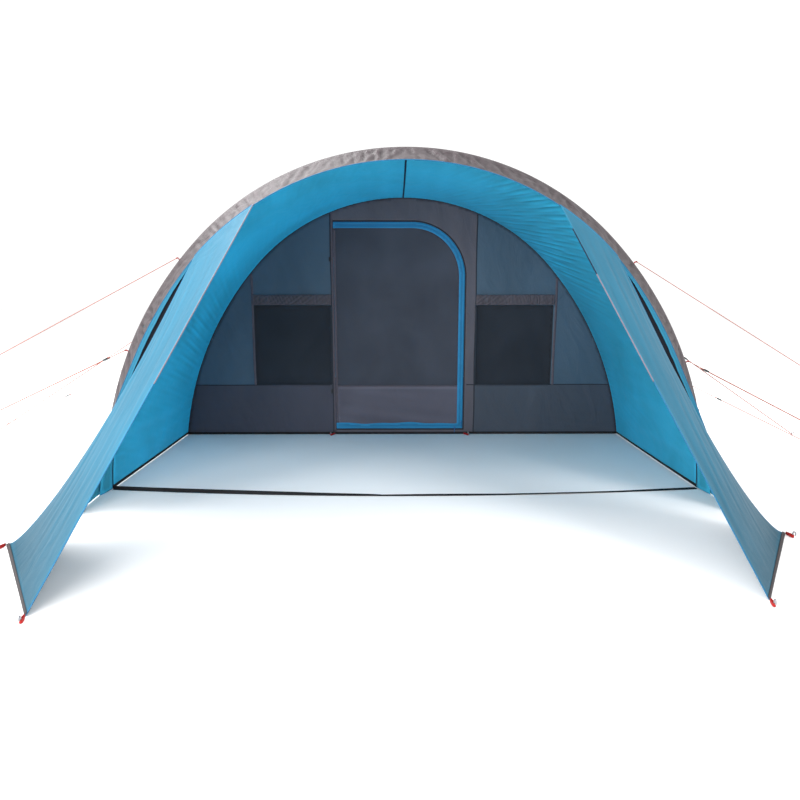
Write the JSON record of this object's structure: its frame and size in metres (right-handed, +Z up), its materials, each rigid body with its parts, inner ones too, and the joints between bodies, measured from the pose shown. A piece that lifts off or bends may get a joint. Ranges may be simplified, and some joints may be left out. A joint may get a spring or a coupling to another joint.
{
  "type": "tunnel tent",
  "caption": "Tunnel tent with curved pole arches, a deep open porch with gray hood and two staked blue wings, a cabin wall with mesh door and windows, and guy lines.",
  "frame": {"origin": "on the ground, in the middle of the pitched tent without its guy lines", "axes": "+Z up, the porch opens towards -Y, +X to the right of someone who looks into the porch"},
  "size_m": [7.2365, 6.1102, 2.0567],
  "materials": {
    "band_blue": "zip cover flap",
    "door_gray": "coated polyester",
    "door_mesh": "fine no-see-um mesh",
    "fly_blue": "coated polyester, light ripple",
    "ground_pe": "woven polyethylene",
    "hood_gray": "coated polyester, light ripple",
    "loop_red": "flat webbing",
    "pole_fibreglass": "pultruded fibreglass",
    "rope_red": "braided cord",
    "runner_plastic": "moulded",
    "shock_elastic": "braided elastic",
    "steel": "zinc plated",
    "strap_black": "flat webbing",
    "wall_slate": "coated polyester",
    "window_mesh": "fine mesh over dark interior",
    "zip_blue": "painted slider",
    "zip_plastic": "moulded"
  },
  "bodies": {
    "tent": {"cabin_fly": "hood_gray", "door_toggles": "zip_plastic", "door_zip_tape": "zip_plastic", "front_wall": "wall_slate", "ground_strap": "strap_black", "groundsheet": "ground_pe", "guy_knots": "rope_red", "guy_line_front_lower_left": "rope_red", "guy_line_front_lower_right": "rope_red", "guy_line_front_upper_left": "rope_red", "guy_line_front_upper_right": "rope_red", "guy_line_middle_lower_left": "rope_red", "guy_line_middle_lower_right": "rope_red", "guy_line_middle_upper_left": "rope_red", "guy_line_middle_upper_right": "rope_red", "guy_line_rear_left": "rope_red", "guy_line_rear_right": "rope_red", "guy_pegs": "steel", "guy_tabs": "loop_red", "hem_pegs": "steel", "hood": "hood_gray", "hood_trim": "fly_blue", "peg_loops": "loop_red", "pole_ferrules": "steel", "pole_foot_tabs": "strap_black", "pole_front": "pole_fibreglass", "pole_middle": "pole_fibreglass", "pole_pins": "steel", "pole_rear": "pole_fibreglass", "pole_sleeve_front": "hood_gray", "pole_sleeve_middle": "strap_black", "pole_sleeve_rear": "strap_black", "porch_fly": "fly_blue", "shock_cords": "shock_elastic", "tail_end_panel": "hood_gray", "tail_fly": "fly_blue", "window_blind_left": "door_gray", "window_blind_right": "door_gray", "window_mesh_left": "window_mesh", "window_mesh_right": "window_mesh", "wing_left": "fly_blue", "wing_right": "fly_blue"},
    "door": {"door_leaf": "door_gray", "door_mesh": "door_mesh", "door_zip_flap": "band_blue"},
    "side_slider": {"zip_slider_side": "zip_blue"},
    "bottom_slider": {"zip_slider_bottom": "zip_blue"},
    "side_pull": {"zip_pull_side": "zip_blue"},
    "bottom_pull": {"zip_pull_bottom": "zip_blue"},
    "runner_front_lower_left": {"guy_runner_front_lower_left": "runner_plastic"},
    "runner_front_lower_right": {"guy_runner_front_lower_right": "runner_plastic"},
    "runner_front_upper_left": {"guy_runner_front_upper_left": "runner_plastic"},
    "runner_front_upper_right": {"guy_runner_front_upper_right": "runner_plastic"},
    "runner_middle_lower_left": {"guy_runner_middle_lower_left": "runner_plastic"},
    "runner_middle_lower_right": {"guy_runner_middle_lower_right": "runner_plastic"},
    "runner_middle_upper_left": {"guy_runner_middle_upper_left": "runner_plastic"},
    "runner_middle_upper_right": {"guy_runner_middle_upper_right": "runner_plastic"},
    "runner_rear_left": {"guy_runner_rear_left": "runner_plastic"},
    "runner_rear_right": {"guy_runner_rear_right": "runner_plastic"}
  },
  "joints": [
    {"name": "door_swing", "type": "hinge", "parent": "tent", "child": "door", "pos_m": [-0.585, 0.3698, 0.9], "axis": [0, 0, -1], "range_deg": [0, 95]},
    {"name": "side_zip", "type": "slide", "parent": "door", "child": "side_slider", "axis": [0, 0, 1], "range_m": [0, 1.18]},
    {"name": "bottom_zip", "type": "slide", "parent": "door", "child": "bottom_slider", "axis": [-1, 0, 0], "range_m": [0, 0.98]},
    {"name": "side_pull_flip", "type": "hinge", "parent": "side_slider", "child": "side_pull", "pos_m": [0.511, 0.3602, 0.112], "axis": [-1, 0, 0], "range_deg": [0, 150]},
    {"name": "bottom_pull_flip", "type": "hinge", "parent": "bottom_slider", "child": "bottom_pull", "pos_m": [0.455, 0.3602, 0.062], "axis": [-1, 0, 0], "range_deg": [0, 150]},
    {"name": "front_lower_left_runner", "type": "slide", "parent": "tent", "child": "runner_front_lower_left", "axis": [-0.9043, 0.1379, -0.4039], "range_m": [0, 0.6]},
    {"name": "front_lower_right_runner", "type": "slide", "parent": "tent", "child": "runner_front_lower_right", "axis": [0.8933, 0.1304, -0.4301], "range_m": [0, 0.6]},
    {"name": "front_upper_left_runner", "type": "slide", "parent": "tent", "child": "runner_front_upper_left", "axis": [-0.8363, -0.246, -0.4899], "range_m": [0, 0.35]},
    {"name": "front_upper_right_runner", "type": "slide", "parent": "tent", "child": "runner_front_upper_right", "axis": [0.7948, -0.2675, -0.5447], "range_m": [0, 0.35]},
    {"name": "middle_lower_left_runner", "type": "slide", "parent": "tent", "child": "runner_middle_lower_left", "axis": [-0.8975, -0.136, -0.4195], "range_m": [0, 0.35]},
    {"name": "middle_lower_right_runner", "type": "slide", "parent": "tent", "child": "runner_middle_lower_right", "axis": [0.8212, -0.3805, -0.4253], "range_m": [0, 0.35]},
    {"name": "middle_upper_left_runner", "type": "slide", "parent": "tent", "child": "runner_middle_upper_left", "axis": [-0.8469, 0.0354, -0.5306], "range_m": [0, 0.35]},
    {"name": "middle_upper_right_runner", "type": "slide", "parent": "tent", "child": "runner_middle_upper_right", "axis": [0.8256, -0.039, -0.563], "range_m": [0, 0.35]},
    {"name": "rear_left_runner", "type": "slide", "parent": "tent", "child": "runner_rear_left", "axis": [-0.5322, 0.6493, -0.5433], "range_m": [0, 0.35]},
    {"name": "rear_right_runner", "type": "slide", "parent": "tent", "child": "runner_rear_right", "axis": [0.5372, 0.6452, -0.5433], "range_m": [0, 0.35]}
  ]
}
